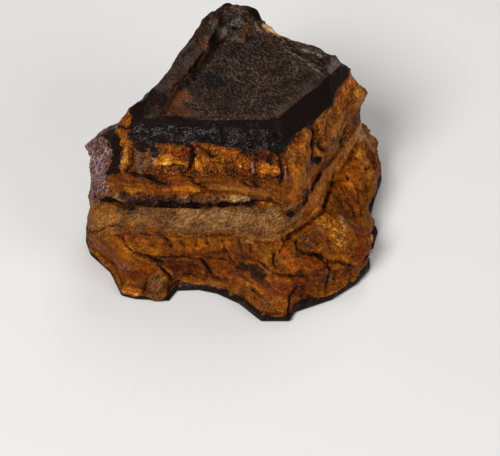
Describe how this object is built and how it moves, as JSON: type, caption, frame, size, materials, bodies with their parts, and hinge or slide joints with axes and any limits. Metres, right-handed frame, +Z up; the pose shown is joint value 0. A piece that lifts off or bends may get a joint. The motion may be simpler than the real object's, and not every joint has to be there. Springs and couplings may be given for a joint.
{
  "type": "rough tiger's eye stone",
  "caption": "Palm-sized rough lump of tiger's eye: stepped golden fibrous beds between a dark ironstone foot and a flat dark cap.",
  "frame": {"origin": "middle of the box round the lump, on the surface it rests on", "axes": "+Z up across the beds, -Y towards the front with the straight steps, +X towards the rounded lobe"},
  "size_m": [0.0558, 0.0553, 0.0332],
  "materials": {
    "banded_stone": "rough broken stone with a silky, waxy sheen on the golden fibres and a near-black top and foot"
  },
  "bodies": {
    "root": {"tigers_eye_lump": "banded_stone"}
  },
  "joints": []
}
